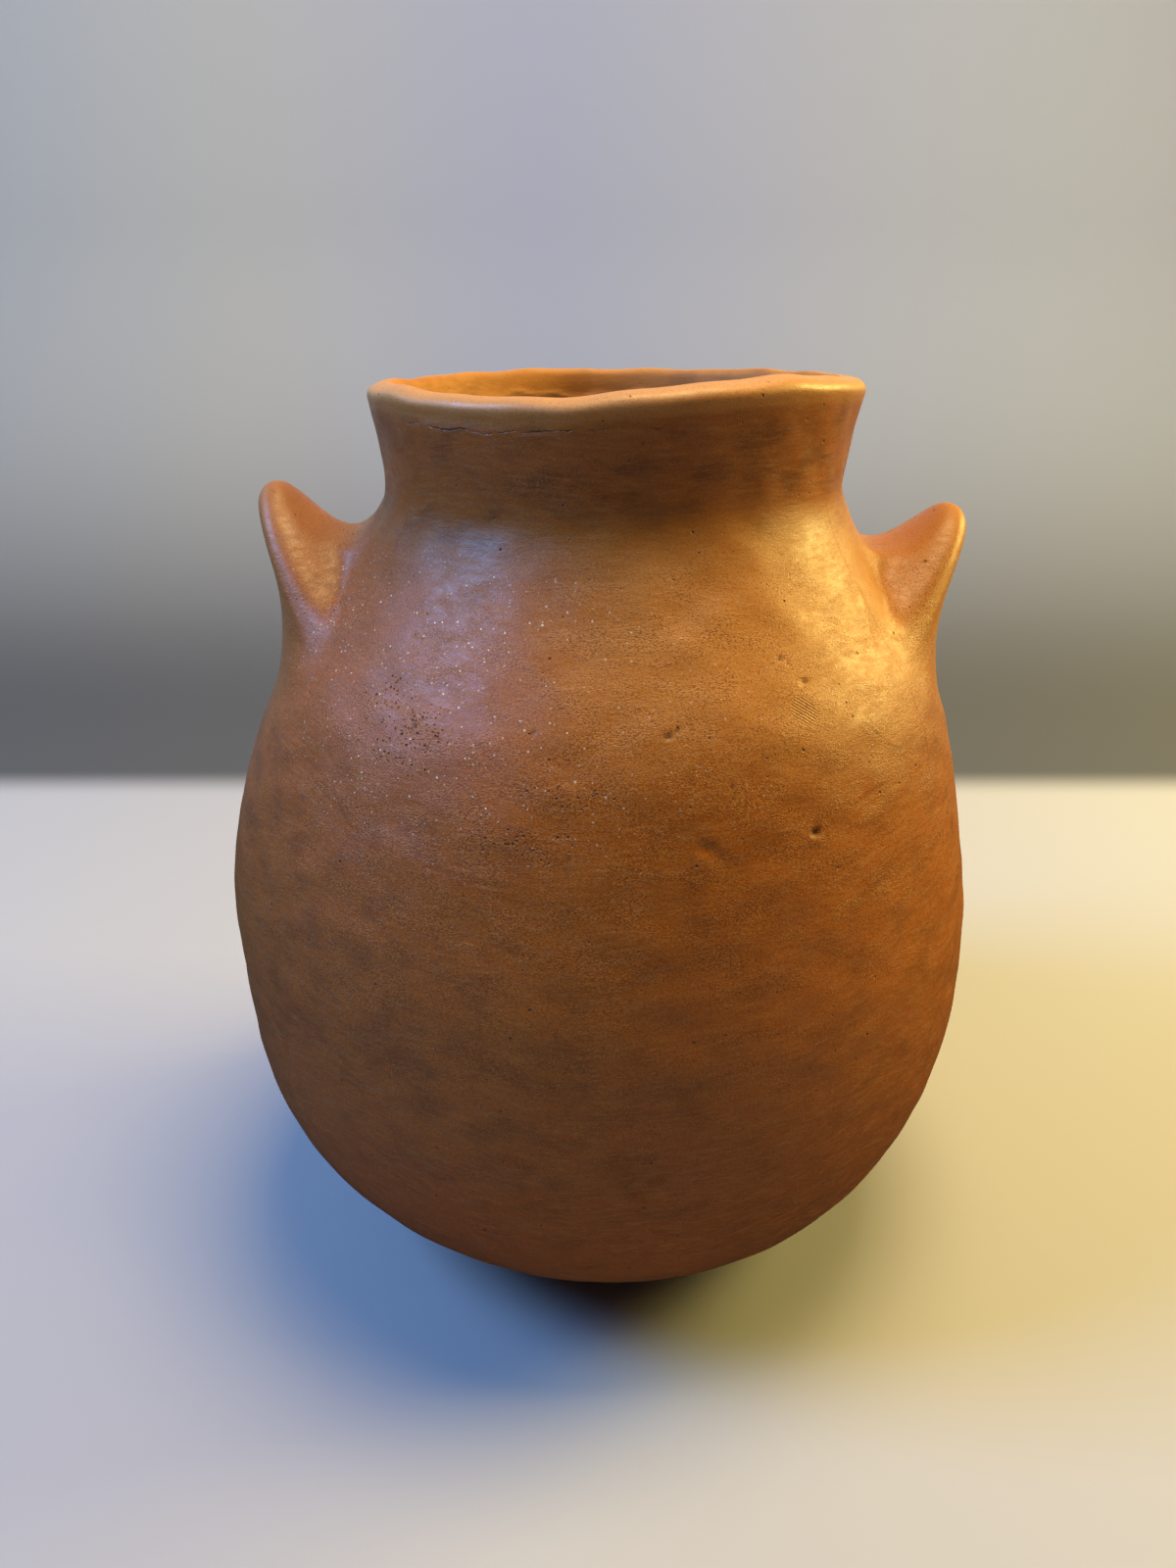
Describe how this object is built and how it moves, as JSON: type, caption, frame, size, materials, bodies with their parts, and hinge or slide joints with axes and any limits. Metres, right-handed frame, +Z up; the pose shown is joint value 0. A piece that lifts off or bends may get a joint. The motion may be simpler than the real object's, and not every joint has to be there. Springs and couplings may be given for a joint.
{
  "type": "olla",
  "caption": "Round-bellied terracotta olla with a narrow neck, a wavy flaring lip and two pinched ears.",
  "frame": {"origin": "centre of the foot, on the surface the pot stands on", "axes": "+Z up through the mouth, +X from the left ear to the right ear as seen from the front, -Y to the front"},
  "size_m": [0.1501, 0.1501, 0.1755],
  "materials": {
    "body_clay": "burnished unglazed terracotta with faint horizontal rubbing marks",
    "neck_clay": "unglazed terracotta, mottled darker",
    "rim_clay": "unglazed terracotta, smoothed with a wet finger",
    "ear_clay": "unglazed terracotta, pinched and smoothed"
  },
  "bodies": {
    "root": {"base_bowl": "body_clay", "lower_wall_course": "body_clay", "belly_course": "body_clay", "shoulder_course": "body_clay", "neck_collar": "neck_clay", "rim_coil": "rim_clay", "ear_left": "ear_clay", "ear_right": "ear_clay"}
  },
  "joints": []
}
